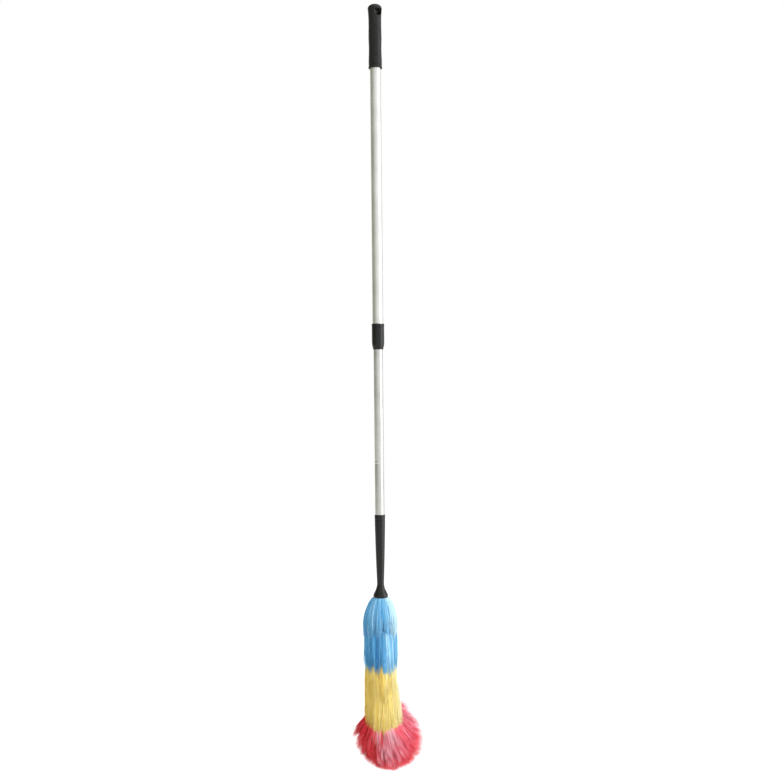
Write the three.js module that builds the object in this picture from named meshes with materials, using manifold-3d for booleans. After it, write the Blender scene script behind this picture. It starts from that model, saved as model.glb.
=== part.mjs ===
// A telescopic duster: a ribbed hand grip with a hanging eyelet, a two-stage tube pole with a twist
// lock, and a lift-off head of soft fringe wound round a core. It hangs by the eyelet, head down.
// Millimetres, +Z up. The origin is the centre of the eyelet, which runs through the grip along Y.

import * as THREE from 'three';
import { mergeVertices } from 'three/addons/utils/BufferGeometryUtils.js';
import Module from 'manifold-3d';

const wasm = await Module();
wasm.setup();

// Driving dimensions.

const datum = 4.6; // every height below is measured from this far above the eyelet's centre
const gap = 0.3; // between pieces that touch on the real object
const roundSides = 32; // sides of a turned piece
const softSides = 24; // sides of a fringe

const grip = {
  top: 13.4,
  bottom: -116.5,
  headRadius: 14.35,
  headHeight: 4.4, // where the head is widest, and the dome starts
  lipRadius: 13.9,
  lipHeight: 3.4,
  ringGroove: { z: -110, depth: 0.7, width: 2.2 },
  boreTop: -17.5,
};

const eyelet = { width: 16, height: 14, cornerRadius: 3 };

const ribs = {
  count: 12, // grooves on each of the four panels
  pitch: 5.5,
  first: -32.8,
  width: 2.2,
  depth: 0.55,
  panelAngle: 48, // degrees round the grip
  panelTurn: 45, // degrees from +X to the middle of the first panel
};

const outerTube = { radius: 11, wall: 0.9, top: -18, bottom: -646 };
const innerTube = { radius: 9.4, wall: 0.8, top: -566.4, bottom: -1017.3 };
const crimp = { first: -908.1, second: -914.4, width: 1.6, depth: 0.35 };

const lock = {
  top: -632,
  flangeRadius: 12.75,
  flangeHeight: 6,
  sleeveRadius: 11.75,
  barrelRadius: 11.2,
  barrelBottom: -663.5,
  throat: 9.75, // radius of the way through for the inner tube
  fingerSlots: 4,
  slotWidth: 1.6,
  slotLength: 13,
};

const collar = {
  radius: 12.6,
  top: -638.3,
  taperTop: -672,
  bottom: -684.1,
  mouthRadius: 10.4,
  boreRadius: 11.95,
};

const collet = { top: -664, bottom: -677, topRadius: 11.3, bottomRadius: 10.35, slit: 2.5 };

const bush = { bottom: -566, height: 16, outer: 9.75, inner: 6.9, slit: 2.5 };
const plug = { headRadius: 8.9, headHeight: 3, neckRadius: 6.5, length: 22 };

const handle = {
  top: -1017.6,
  beadBottom: -1027.3,
  beadRadius: 10.75,
  shoulderRadius: 10.6,
  waistZ: -1155.7,
  waistRadius: 6.9,
  kinkZ: -1172.9,
  kinkRadius: 10.9,
  rimZ: -1181,
  rimRadius: 14.85,
  bottom: -1186,
};

const spigot = { length: 44, radius: 8.2, coreRadius: 5.4, coreDepth: 30 };
const rod = { radius: 4, top: -1124, bottom: -1474 };
const rodCap = { radius: 6.4, height: 18, wall: 3 };
const binding = { thickness: 2.6, height: 13 };

// The tip of the head leans this far, in this direction, as its fibres fall to one side.
const lean = { distance: 17, angle: -32, from: -1385, to: -1470 };

// The outline of the soft head as radius and height, from the bell of the handle down to the tip.
const headOutline = new THREE.SplineCurve([
  new THREE.Vector2(19, -1187),
  new THREE.Vector2(34, -1228),
  new THREE.Vector2(34, -1300),
  new THREE.Vector2(33, -1385),
  new THREE.Vector2(52, -1420),
  new THREE.Vector2(70, -1462),
  new THREE.Vector2(60, -1496),
  new THREE.Vector2(38, -1519),
  new THREE.Vector2(12, -1533.5),
]);

// Each length of fringe is bound to the core at its root, and shows from top to bottom.
const fringes = [
  { name: 'blue_1', root: -1187.8, top: -1186.8, bottom: -1265, color: 0x7db2d7 },
  { name: 'blue_2', root: -1239, top: -1265, bottom: -1336, color: 0x6aa6d4 },
  { name: 'yellow_1', root: -1297, top: -1336, bottom: -1390, color: 0xe0cb82 },
  { name: 'yellow_2', root: -1343, top: -1390, bottom: -1438, color: 0xd6bb62 },
  { name: 'pink_1', root: -1391, top: -1438, bottom: -1464, color: 0xdc737e },
  { name: 'pink_2', root: -1434, top: -1464, bottom: -1498, color: 0xe0606f },
  { name: 'pink_3', root: -1477, top: -1498, bottom: -1533.5, color: 0xd8455a },
];

// Materials.

const plastic = (color) => new THREE.MeshStandardMaterial({ color, roughness: 0.5, metalness: 0 });
const fibre = (color) => new THREE.MeshStandardMaterial({ color, roughness: 0.85, metalness: 0 });
const blackPlastic = () => plastic(0x2b2c2a);
const whiteNylon = () => plastic(0xe6e4dc);
const anodised = () => new THREE.MeshStandardMaterial({ color: 0xc4c7c6, roughness: 0.35, metalness: 1 });
const paleTape = () => fibre(0xe9e3d6);

// Shape helpers.

function turned(profile, sides = roundSides) {
  const points = profile.map(([radius, z]) => new THREE.Vector2(radius, z));
  return new THREE.LatheGeometry(points, sides).rotateX(Math.PI / 2);
}

function ring(inner, outer, low, high, sides = roundSides) {
  return turned([[outer, low], [outer, high], [inner, high], [inner, low], [outer, low]], sides);
}

function cylinder(radius, low, high, sides = roundSides) {
  return turned([[0, low], [radius, low], [radius, high], [0, high]], sides);
}

function box(width, depth, low, high) {
  return new THREE.BoxGeometry(width, depth, high - low).translate(0, 0, (low + high) / 2);
}

function solid(geometry) {
  const bare = geometry.clone();
  bare.deleteAttribute('normal');
  bare.deleteAttribute('uv');
  const merged = mergeVertices(bare);
  const vertProperties = new Float32Array(merged.attributes.position.array);
  const triVerts = new Uint32Array(merged.index.array);
  return new wasm.Manifold(new wasm.Mesh({ numProp: 3, vertProperties, triVerts }));
}

function geometryOf(shape) {
  const mesh = shape.getMesh();
  const geometry = new THREE.BufferGeometry();
  geometry.setAttribute('position', new THREE.BufferAttribute(mesh.vertProperties, 3));
  geometry.setIndex(new THREE.BufferAttribute(mesh.triVerts, 1));
  geometry.computeVertexNormals();
  return geometry;
}

// Points of a curve as [radius, height] pairs, for a turned profile.
function sampled(curve, steps) {
  return curve.getPoints(steps).map((point) => [point.x, point.y]);
}

function smoothStep(value) {
  const t = THREE.MathUtils.clamp(value, 0, 1);
  return t * t * (3 - 2 * t);
}

const model = new THREE.Group();

function add(name, geometry, material, parent = model) {
  const mesh = new THREE.Mesh(geometry.translate(0, 0, datum), material);
  mesh.name = name;
  parent.add(mesh);
  return mesh;
}

// The hand grip: a moulded sleeve closed by a domed head, with the eyelet cut through the head.

function gripOutline() {
  const swell = new THREE.SplineCurve([
    new THREE.Vector2(13.2, -101),
    new THREE.Vector2(12.45, -77),
    new THREE.Vector2(13, -54),
    new THREE.Vector2(12.6, -30),
    new THREE.Vector2(12.8, -15),
    new THREE.Vector2(13.5, -4),
    new THREE.Vector2(grip.headRadius, grip.headHeight),
  ]);
  const { z, depth, width } = grip.ringGroove;
  const lipTop = grip.bottom + grip.lipHeight;
  const outline = [
    [grip.lipRadius - 0.5, grip.bottom],
    [grip.lipRadius, grip.bottom + 0.7],
    [grip.lipRadius, lipTop],
    [13.3, lipTop + 0.5],
    [13.3, z - width / 2],
    [13.3 - depth, z - width / 4],
    [13.3 - depth, z + width / 4],
    [13.3, z + width / 2],
    ...sampled(swell, 11),
  ];
  const dome = new THREE.EllipseCurve(
    0, grip.headHeight, grip.headRadius, grip.top - grip.headHeight, 0, Math.PI / 2);
  const domePoints = sampled(dome, 5).slice(1, -1);
  return [...outline, ...domePoints, [0, grip.top]];
}

function eyeletOutline() {
  const half = eyelet.width / 2;
  const top = eyelet.height / 2;
  const corner = eyelet.cornerRadius;
  const bottomCentre = half - top;
  const outline = new THREE.Shape();
  outline.absarc(0, bottomCentre, half, Math.PI, 2 * Math.PI);
  outline.lineTo(half, top - corner);
  outline.absarc(half - corner, top - corner, corner, 0, Math.PI / 2);
  outline.absarc(corner - half, top - corner, corner, Math.PI / 2, Math.PI);
  outline.closePath();
  return outline;
}

function eyeletCutter() {
  const depth = 2 * grip.headRadius + 4;
  const cutter = new THREE.ExtrudeGeometry(eyeletOutline(), { depth, bevelEnabled: false, curveSegments: 6 });
  return cutter.translate(0, 0, -depth / 2).rotateX(Math.PI / 2).translate(0, 0, -datum);
}

function gripRadiusAt(z) {
  const outline = gripOutline();
  const next = outline.findIndex(([, height]) => height > z);
  const [lowRadius, low] = outline[next - 1];
  const [highRadius, high] = outline[next];
  return THREE.MathUtils.mapLinear(z, low, high, lowRadius, highRadius);
}

// A wedge that covers one ribbed panel, from inside the wall to outside it.
function ribPanel(middle) {
  const half = THREE.MathUtils.degToRad(ribs.panelAngle / 2);
  const inner = outerTube.radius;
  const outer = grip.headRadius + 3;
  const corner = (radius, angle) => new THREE.Vector2(radius * Math.cos(angle), radius * Math.sin(angle));
  const wedge = new THREE.Shape([
    corner(inner, middle - half),
    corner(outer, middle - half),
    corner(outer, middle + half),
    corner(inner, middle + half),
  ]);
  const depth = (ribs.count + 1) * ribs.pitch;
  const low = ribs.first - ribs.count * ribs.pitch;
  return new THREE.ExtrudeGeometry(wedge, { depth, bevelEnabled: false }).translate(0, 0, low);
}

// A V-section ring whose point is one groove's bed.
function ribGroove(index) {
  const z = ribs.first - index * ribs.pitch;
  const bed = gripRadiusAt(z) - ribs.depth;
  const outer = bed + 2 * ribs.depth;
  return turned([[outer, z - ribs.width], [outer, z + ribs.width], [bed, z], [outer, z - ribs.width]]);
}

function handGrip() {
  const bore = outerTube.radius + gap;
  const blank = [[0, grip.boreTop], [bore, grip.boreTop], [bore, grip.bottom], ...gripOutline()];
  let shape = solid(turned(blank)).subtract(solid(eyeletCutter()));
  for (let side = 0; side < 4; side += 1) {
    const panel = solid(ribPanel(THREE.MathUtils.degToRad(ribs.panelTurn + 90 * side)));
    for (let index = 0; index < ribs.count; index += 1) {
      shape = shape.subtract(panel.intersect(solid(ribGroove(index))));
    }
  }
  return geometryOf(shape);
}

// The twist lock: a flanged bush on the outer tube, a split collet, and the collar that squeezes it.

function lockBase() {
  const flangeBottom = lock.top - lock.flangeHeight;
  const seat = outerTube.radius + gap;
  const stop = outerTube.bottom - gap;
  let shape = solid(turned([
    [lock.throat, lock.barrelBottom],
    [lock.barrelRadius, lock.barrelBottom],
    [lock.barrelRadius, stop - 2],
    [lock.sleeveRadius, stop - 1],
    [lock.sleeveRadius, flangeBottom],
    [lock.flangeRadius, flangeBottom],
    [lock.flangeRadius, lock.top - 0.6],
    [lock.flangeRadius - 0.6, lock.top],
    [seat, lock.top],
    [seat, stop],
    [lock.throat, stop],
    [lock.throat, lock.barrelBottom],
  ]));
  for (let index = 0; index < lock.fingerSlots / 2; index += 1) {
    const low = lock.barrelBottom - 1;
    const slot = box(40, lock.slotWidth, low, lock.barrelBottom + lock.slotLength);
    shape = shape.subtract(solid(slot.rotateZ(index * Math.PI / 2)));
  }
  return geometryOf(shape);
}

function lockCollar() {
  const seatRadius = collet.bottomRadius + gap;
  const taper = new THREE.QuadraticBezierCurve(
    new THREE.Vector2(collar.mouthRadius, collar.bottom + 1.6),
    new THREE.Vector2(collar.radius - 0.3, collar.bottom + 6),
    new THREE.Vector2(collar.radius, collar.taperTop));
  return turned([
    [lock.throat, collar.bottom],
    [collar.mouthRadius - 0.3, collar.bottom],
    ...sampled(taper, 4),
    [collar.radius, collar.top - 0.5],
    [collar.radius - 0.4, collar.top],
    [collar.boreRadius, collar.top],
    [collar.boreRadius, collet.top],
    [collet.topRadius + gap, collet.top],
    [seatRadius, collet.bottom - gap],
    [lock.throat, collet.bottom - gap],
    [lock.throat, collar.bottom],
  ]);
}

function colletRing() {
  const inner = innerTube.radius + gap;
  const cone = solid(turned([
    [inner, collet.bottom],
    [collet.bottomRadius, collet.bottom],
    [collet.topRadius, collet.top],
    [inner, collet.top],
    [inner, collet.bottom],
  ]));
  const slit = box(30, collet.slit, collet.bottom - 1, collet.top + 1).translate(15, 0, 0);
  return geometryOf(cone.subtract(solid(slit)));
}

// The upper end of the inner tube: a plug pressed into it, and a split bush that turns on the plug.

function guideBush() {
  const sleeve = solid(ring(bush.inner, bush.outer, bush.bottom, bush.bottom + bush.height));
  const slit = box(30, bush.slit, bush.bottom - 1, bush.bottom + bush.height + 1).translate(15, 0, 0);
  return geometryOf(sleeve.subtract(solid(slit)));
}

function bushPlug() {
  const headBottom = bush.bottom + bush.height + gap;
  const headTop = headBottom + plug.headHeight;
  const insertRadius = innerTube.radius - innerTube.wall - gap;
  return turned([
    [0, innerTube.top - plug.length],
    [insertRadius - 1, innerTube.top - plug.length],
    [insertRadius, innerTube.top - plug.length + 2],
    [insertRadius, innerTube.top],
    [plug.neckRadius, innerTube.top],
    [plug.neckRadius, headBottom],
    [plug.headRadius, headBottom],
    [plug.headRadius, headTop - 1],
    [plug.headRadius - 1, headTop],
    [0, headTop],
  ]);
}

function crimpedTube() {
  const { radius, wall, top, bottom } = innerTube;
  const groove = (z) => [
    [radius, z - crimp.width / 2],
    [radius - crimp.depth, z],
    [radius, z + crimp.width / 2],
  ];
  return turned([
    [radius, bottom],
    ...groove(crimp.second),
    ...groove(crimp.first),
    [radius, top],
    [radius - wall, top],
    [radius - wall, bottom],
    [radius, bottom],
  ]);
}

// The handle of the head: a spigot that plugs into the pole, a tapered grip and a bell for the fringe.

function headHandle() {
  const spigotTop = handle.top + spigot.length;
  const rodBore = rod.radius + gap;
  const taper = new THREE.SplineCurve([
    new THREE.Vector2(handle.waistRadius, handle.waistZ),
    new THREE.Vector2(8.15, -1121),
    new THREE.Vector2(9.5, -1074),
    new THREE.Vector2(handle.shoulderRadius, handle.beadBottom - 3),
  ]);
  const bell = new THREE.SplineCurve([
    new THREE.Vector2(handle.rimRadius, handle.rimZ),
    new THREE.Vector2(handle.kinkRadius, handle.kinkZ),
    new THREE.Vector2(8.4, handle.kinkZ + 7),
    new THREE.Vector2(handle.waistRadius, handle.waistZ),
  ]);
  return turned([
    [0, rod.top + gap],
    [rodBore, rod.top + gap],
    [rodBore, handle.bottom + 12],
    [handle.rimRadius - 2.4, handle.bottom + 3],
    [handle.rimRadius - 1.6, handle.bottom],
    [handle.rimRadius - 0.8, handle.bottom],
    [handle.rimRadius, handle.bottom + 1.5],
    ...sampled(bell, 5),
    ...sampled(taper, 5).slice(1),
    [handle.beadRadius - 0.8, handle.beadBottom],
    [handle.beadRadius, handle.beadBottom + 1],
    [handle.beadRadius, handle.top - 1],
    [handle.beadRadius - 1, handle.top],
    [spigot.radius, handle.top],
    [spigot.radius, spigotTop - 2],
    [spigot.radius - 1.2, spigotTop],
    [spigot.coreRadius, spigotTop],
    [spigot.coreRadius, spigotTop - spigot.coreDepth],
    [0, spigotTop - spigot.coreDepth],
  ]);
}

function rodCapShape() {
  const low = rod.bottom - rodCap.wall;
  const high = low + rodCap.height;
  return turned([
    [0, low],
    [rodCap.radius - 2, low],
    [rodCap.radius, low + 2],
    [rodCap.radius, high],
    [rod.radius + gap, high],
    [rod.radius + gap, rod.bottom - gap],
    [0, rod.bottom - gap],
  ]);
}

// One length of soft fringe as a plain closed body: a slice of the head outline between two heights,
// leaned with the tip and bored for the core and its bindings.

function outlineRadiusAt(z) {
  const points = headOutline.getPoints(80);
  for (let i = 1; i < points.length; i += 1) {
    if (z <= points[i - 1].y && z >= points[i].y) {
      return THREE.MathUtils.mapLinear(z, points[i - 1].y, points[i].y, points[i - 1].x, points[i].x);
    }
  }
  return points[z > points[0].y ? 0 : points.length - 1].x;
}

function leaned(geometry) {
  const angle = THREE.MathUtils.degToRad(lean.angle);
  const position = geometry.attributes.position;
  for (let i = 0; i < position.count; i += 1) {
    const shift = lean.distance * smoothStep((position.getZ(i) - lean.from) / (lean.to - lean.from));
    position.setX(i, position.getX(i) + shift * Math.cos(angle));
    position.setY(i, position.getY(i) + shift * Math.sin(angle));
  }
  return geometry;
}

function fringe({ top, bottom }) {
  const low = bottom + gap;
  const steps = 4;
  const outer = [];
  for (let i = 0; i <= steps; i += 1) {
    const z = THREE.MathUtils.lerp(low, top, i / steps);
    outer.push([outlineRadiusAt(z), z]);
  }
  const body = solid(leaned(turned([[0, low], ...outer, [0, top]], softSides)));
  const boreRadius = rod.radius + gap + binding.thickness + gap;
  const boreBottom = rod.bottom - rodCap.wall - gap;
  return geometryOf(body.subtract(solid(cylinder(boreRadius, boreBottom, top + 10, softSides))));
}

// The tape that binds the root of each length to the core.
function bindingTape({ root }) {
  const inner = rod.radius + gap;
  return ring(inner, inner + binding.thickness, root - binding.height, root, softSides);
}

// Assembly.

add('hand_grip', handGrip(), blackPlastic());
add('outer_tube', ring(outerTube.radius - outerTube.wall, outerTube.radius, outerTube.bottom, outerTube.top),
  anodised());
add('lock_base', lockBase(), blackPlastic());
add('collet_ring', colletRing(), whiteNylon());
add('lock_collar', lockCollar(), blackPlastic());
add('guide_bush', guideBush(), whiteNylon());
add('bush_plug', bushPlug(), whiteNylon());
add('inner_tube', crimpedTube(), anodised());

const head = new THREE.Group();
model.add(head);
add('head_handle', headHandle(), blackPlastic(), head);
add('core_rod', cylinder(rod.radius, rod.bottom, rod.top, softSides), whiteNylon(), head);
add('core_cap', rodCapShape(), whiteNylon(), head);
for (const length of fringes) {
  add(`${length.name}_fringe`, fringe(length), fibre(length.color), head);
}
for (const length of fringes.slice(0, -1)) {
  add(`${length.name}_binding`, bindingTape(length), paleTape(), head);
}

export default model;
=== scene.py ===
import math

import bmesh
import bpy
import numpy as np
from mathutils import Matrix, Vector


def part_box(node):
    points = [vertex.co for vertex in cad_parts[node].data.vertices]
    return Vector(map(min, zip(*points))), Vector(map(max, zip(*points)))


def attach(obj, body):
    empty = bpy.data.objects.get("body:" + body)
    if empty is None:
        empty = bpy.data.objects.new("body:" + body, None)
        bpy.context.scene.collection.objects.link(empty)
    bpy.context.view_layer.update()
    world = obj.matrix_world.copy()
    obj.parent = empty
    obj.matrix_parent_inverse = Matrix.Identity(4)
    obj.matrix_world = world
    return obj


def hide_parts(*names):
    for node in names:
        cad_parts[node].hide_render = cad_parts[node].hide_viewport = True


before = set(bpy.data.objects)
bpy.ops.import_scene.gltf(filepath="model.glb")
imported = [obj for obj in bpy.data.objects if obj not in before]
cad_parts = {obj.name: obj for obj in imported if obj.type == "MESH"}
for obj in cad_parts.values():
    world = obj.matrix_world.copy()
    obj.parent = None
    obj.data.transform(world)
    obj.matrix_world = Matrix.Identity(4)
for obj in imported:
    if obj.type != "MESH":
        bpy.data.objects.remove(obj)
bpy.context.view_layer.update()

# Telescopic fringe duster, hanging by the eyelet in its grip. Shapes are worked out in millimetres.

mm = 0.001
datum = 4.6  # every height below is measured from this far above the eyelet's centre


# The lower and upper corners of a node's box, in millimetres from the datum.
def nodeSpan(node):
    low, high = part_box(node)
    return np.array(low) / mm - [0, 0, datum], np.array(high) / mm - [0, 0, datum]


# Linear colour from an sRGB hex value: a straight line near black, and a power of 2.4 above it.
def hexColour(text):
    parts = [int(text[i:i + 2], 16) / 255 for i in (1, 3, 5)]
    return tuple(p / 12.92 if p <= 0.04045 else ((p + 0.055) / 1.055) ** 2.4 for p in parts) + (1.0,)


# A smooth curve through a few points: each stretch is the cubic whose slopes join the points' neighbours.
def throughPoints(points, steps):
    p = np.asarray(points, float)
    p = np.vstack([2 * p[0] - p[1], p, 2 * p[-1] - p[-2]])
    t = np.linspace(0, 1, steps, endpoint=False)[:, None]
    runs = []
    for a, b, c, d in zip(p, p[1:], p[2:], p[3:]):
        runs.append(0.5 * (2 * b + (c - a) * t + (2 * a - 5 * b + 4 * c - d) * t ** 2
                           + (3 * b - a - 3 * c + d) * t ** 3))
    return np.vstack(runs + [p[-2][None]])


# A bent line with its corners rounded: each corner given as radius, height and fillet becomes an arc
# that touches both of its sides, and one without a fillet stays a point.
def filleted(corners, steps):
    c = [np.array(x[:2], float) for x in corners]
    out = []
    for i, corner in enumerate(corners):
        if len(corner) < 3:
            out.append(c[i])
            continue
        fillet = corner[2]
        before, after = c[i - 1] - c[i], c[i + 1] - c[i]
        before, after = before / np.linalg.norm(before), after / np.linalg.norm(after)
        half = 0.5 * math.acos(np.clip(before @ after, -1, 1))
        reach = fillet / math.tan(half)
        middle = c[i] + (before + after) / np.linalg.norm(before + after) * fillet / math.sin(half)
        start, end = c[i] + before * reach - middle, c[i] + after * reach - middle
        for t in np.linspace(0, 1, steps + 1):
            spoke = start * (1 - t) + end * t
            out.append(middle + spoke / np.linalg.norm(spoke) * fillet)
    return np.array(out)


# Quads of a grid of rows and columns whose columns close into rings; with closeRows the rows close too.
def gridFaces(rows, columns, closeRows=False):
    r, c = np.meshgrid(np.arange(rows if closeRows else rows - 1), np.arange(columns), indexing="ij")
    rNext, cNext = (r + 1) % rows, (c + 1) % columns
    quads = [r * columns + c, r * columns + cNext, rNext * columns + cNext, rNext * columns + c]
    return np.stack(quads, -1).reshape(-1, 4)


# Fan of triangles from one middle point to a ring of the grid.
def capFaces(ringStart, columns, middle, lower):
    c = ringStart + np.arange(columns)
    cNext = ringStart + (np.arange(columns) + 1) % columns
    m = np.full(columns, middle)
    return np.stack([m, cNext, c] if lower else [m, c, cNext], -1)


# A mesh object from points in millimetres and a list of face arrays, smooth, at the origin.
def meshPiece(name, points, faceSets, strandUv=None):
    mesh = bpy.data.meshes.new(name)
    mesh.vertices.add(len(points))
    mesh.vertices.foreach_set("co", ((np.asarray(points) + [0, 0, datum]) * mm).astype(np.float32).ravel())
    corners = np.concatenate([f.ravel() for f in faceSets]).astype(np.int32)
    totals = np.concatenate([np.full(len(f), f.shape[1]) for f in faceSets])
    starts = np.concatenate([[0], np.cumsum(totals)[:-1]]).astype(np.int32)
    mesh.loops.add(len(corners))
    mesh.loops.foreach_set("vertex_index", corners)
    mesh.polygons.add(len(totals))
    mesh.polygons.foreach_set("loop_start", starts)
    mesh.polygons.foreach_set("use_smooth", np.ones(len(totals), bool))
    if strandUv is not None:
        layer = mesh.uv_layers.new(name="strand")
        layer.data.foreach_set("uv", strandUv[corners].astype(np.float32).ravel())
    mesh.update(calc_edges=True)
    mesh.validate()
    piece = bpy.data.objects.new(name, mesh)
    bpy.context.scene.collection.objects.link(piece)
    return piece


# Joins points that lie on each other, so that a seam is closed.
def weld(piece, distance=0.002):
    work = bmesh.new()
    work.from_mesh(piece.data)
    bmesh.ops.remove_doubles(work, verts=work.verts, dist=distance * mm)
    bmesh.ops.recalc_face_normals(work, faces=work.faces)
    work.to_mesh(piece.data)
    work.free()
    piece.data.polygons.foreach_set("use_smooth", np.ones(len(piece.data.polygons), bool))


# Points on rings about the pole's axis, each ring given as radius and height. ripple adds to the radius
# as a function of angle, height and radius.
def ringPoints(rings, sides, ripple=None):
    angle = np.arange(sides) * 2 * np.pi / sides
    radius = np.repeat(rings[:, :1], sides, 1)
    height = np.repeat(rings[:, 1:], sides, 1)
    if ripple:
        radius = radius + ripple(angle[None, :], height, radius)
    return np.stack([radius * np.cos(angle), radius * np.sin(angle), height], -1).reshape(-1, 3)


# A profile of radius and height turned about the pole's axis. The profile goes up on the outside; it
# closes on itself, or starts and ends on the axis where each end becomes a single middle point.
def turned(name, profile, sides, ripple=None):
    profile = np.asarray(profile, float)
    onAxis = profile[0, 0] < 1e-6
    rings = profile[1:-1] if onAxis else profile
    points = ringPoints(rings, sides, ripple)
    faceSets = [gridFaces(len(rings), sides, closeRows=not onAxis)]
    if onAxis:
        ends = [[0, 0, profile[0, 1]], [0, 0, profile[-1, 1]]]
        last = len(points)
        points = np.vstack([points, ends])
        faceSets.append(capFaces(0, sides, last, lower=True))
        faceSets.append(capFaces((len(rings) - 1) * sides, sides, last + 1, lower=False))
    return meshPiece(name, points, faceSets)


# Rises from 0 to 1 as x does and is level at both ends: three times x squared less twice x cubed.
def smoothStep(x):
    x = np.clip(x, 0, 1)
    return x * x * (3 - 2 * x)


# A new material and its shader.
def newMaterial(name):
    material = bpy.data.materials.new(name)
    material.use_nodes = True
    return material, material.node_tree.nodes["Principled BSDF"]


# Fills a node's inputs, each named by its socket or as in0, in1 and so on. A value that is a node links
# its first output, and a pair links a node and one of its outputs.
def setInputs(owner, node, **inputs):
    links = owner.node_tree.links
    for key, value in inputs.items():
        numbered = key.startswith("in") and key[2:].isdigit()
        socket = node.inputs[int(key[2:]) if numbered else key]
        if isinstance(value, tuple) and hasattr(value[0], "outputs"):
            links.new(value[0].outputs[value[1]], socket)
        elif hasattr(value, "outputs"):
            links.new(value.outputs[0], socket)
        else:
            socket.default_value = value


# Adds a node to a material or the world: its properties, its colour stops if it has them, its inputs.
def addNode(owner, kind, settings=None, stops=None, **inputs):
    node = owner.node_tree.nodes.new("ShaderNode" + kind)
    for key, value in (settings or {}).items():
        setattr(node, key, value)
    if stops:
        elements = node.color_ramp.elements
        elements.remove(elements[-1])
        elements[0].position, elements[0].color = stops[0]
        for place, colour in stops[1:]:
            elements.new(place).color = colour
    setInputs(owner, node, **inputs)
    return node


# Gives a piece one material.
def setMaterial(piece, material):
    piece.data.materials.clear()
    piece.data.materials.append(material)


# Moulded polypropylene, coloured black: a satin skin with a spark-eroded grain, handled smoother in
# patches about 18 mm wide and a little dusty. The grip's grain is coarse and dull, the lock's and
# handle's fine and shiny, and both are drawn coarser than the real 0.1 mm or so.
def blackPolypropylene(name, shades, gloss, roughness, grainMm):
    material, shader = newMaterial(name)
    coords = addNode(material, "TexCoord")
    patches = addNode(material, "TexNoise", Vector=(coords, "Object"), Scale=1 / (18.2 * mm), Detail=3.0)
    colour = addNode(material, "ValToRGB", Fac=(patches, "Fac"),
                     stops=[(0.3, hexColour(shades[0])), (0.7, hexColour(shades[1]))])
    rough = addNode(material, "MapRange", Value=(patches, "Fac"),
                    **{"From Min": 0.3, "From Max": 0.7, "To Min": roughness[0], "To Max": roughness[1]})
    grain = addNode(material, "TexNoise", Vector=(coords, "Object"), Scale=1 / (grainMm * mm), Detail=2.0)
    bump = addNode(material, "Bump", Strength=0.25, Distance=0.06 * mm, Height=(grain, "Fac"))
    setInputs(material, shader, **{"Base Color": colour, "Roughness": (rough, "Result"), "Normal": bump,
                                   "IOR": 1.49, "Specular IOR Level": gloss})
    return material


# Drawn aluminium tube, etched and clear anodised: a satin metal whose draw lines run along it, with
# cloudy patches about 40 mm wide from the etch. The lines are drawn 0.7 mm wide, coarser than real ones.
def anodisedAluminium(name, streaks, dark, light):
    material, shader = newMaterial(name)
    coords = addNode(material, "TexCoord")
    stretched = addNode(material, "Mapping", Vector=(coords, "Object"), Scale=(1.0, 1.0, 0.02))
    lines = addNode(material, "TexNoise", Vector=stretched, Scale=1 / (0.714 * mm), Detail=4.0)
    cloud = addNode(material, "TexNoise", Vector=(coords, "Object"), Scale=1 / (41.7 * mm), Detail=3.0)
    mixed = addNode(material, "Math", {"operation": "MULTIPLY_ADD"}, in0=(lines, "Fac"), in1=streaks,
                    in2=(cloud, "Fac"))
    colour = addNode(material, "ValToRGB", Fac=mixed,
                     stops=[(0.5, hexColour(dark)), (1.0, hexColour(light))])
    rough = addNode(material, "MapRange", Value=mixed,
                    **{"From Min": 0.3, "From Max": 1.0, "To Min": 0.27, "To Max": 0.4})
    bump = addNode(material, "Bump", Strength=0.12, Distance=0.03 * mm, Height=(lines, "Fac"))
    setInputs(material, shader, **{"Base Color": colour, "Metallic": 1.0, "Roughness": (rough, "Result"),
                                   "Normal": bump})
    return material


# Natural nylon, injection moulded: warm white, slightly glossy, with faint flow marks about 8 mm wide.
def naturalNylon():
    material, shader = newMaterial("naturalNylon")
    coords = addNode(material, "TexCoord")
    flow = addNode(material, "TexNoise", Vector=(coords, "Object"), Scale=1 / (8.33 * mm), Detail=3.0,
                   Distortion=0.8)
    colour = addNode(material, "ValToRGB", Fac=(flow, "Fac"),
                     stops=[(0.3, hexColour("#ddd9cc")), (0.7, hexColour("#ece9df"))])
    rough = addNode(material, "MapRange", Value=(flow, "Fac"), **{"To Min": 0.3, "To Max": 0.45})
    setInputs(material, shader, **{"Base Color": colour, "Roughness": (rough, "Result"), "IOR": 1.53})
    return material


# Woven polyester binding tape: pale and matt, its weave drawn as ribs 3.8 mm apart, coarser than real.
# The wave node repeats every 2 pi / 20 at a scale of 1.
def bindingTape():
    material, shader = newMaterial("bindingTape")
    coords = addNode(material, "TexCoord")
    threads = addNode(material, "TexWave", {"wave_type": "BANDS", "bands_direction": "Z"},
                      Vector=(coords, "Object"), Scale=2 * math.pi / 20 / (3.77 * mm), Distortion=0.6)
    colour = addNode(material, "ValToRGB", Fac=(threads, "Fac"),
                     stops=[(0.1, hexColour("#c9c2b0")), (0.8, hexColour("#ebe5d8"))])
    bump = addNode(material, "Bump", Strength=0.5, Distance=0.2 * mm, Height=(threads, "Fac"))
    setInputs(material, shader, **{"Base Color": colour, "Roughness": 0.85, "Normal": bump})
    return material


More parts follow.
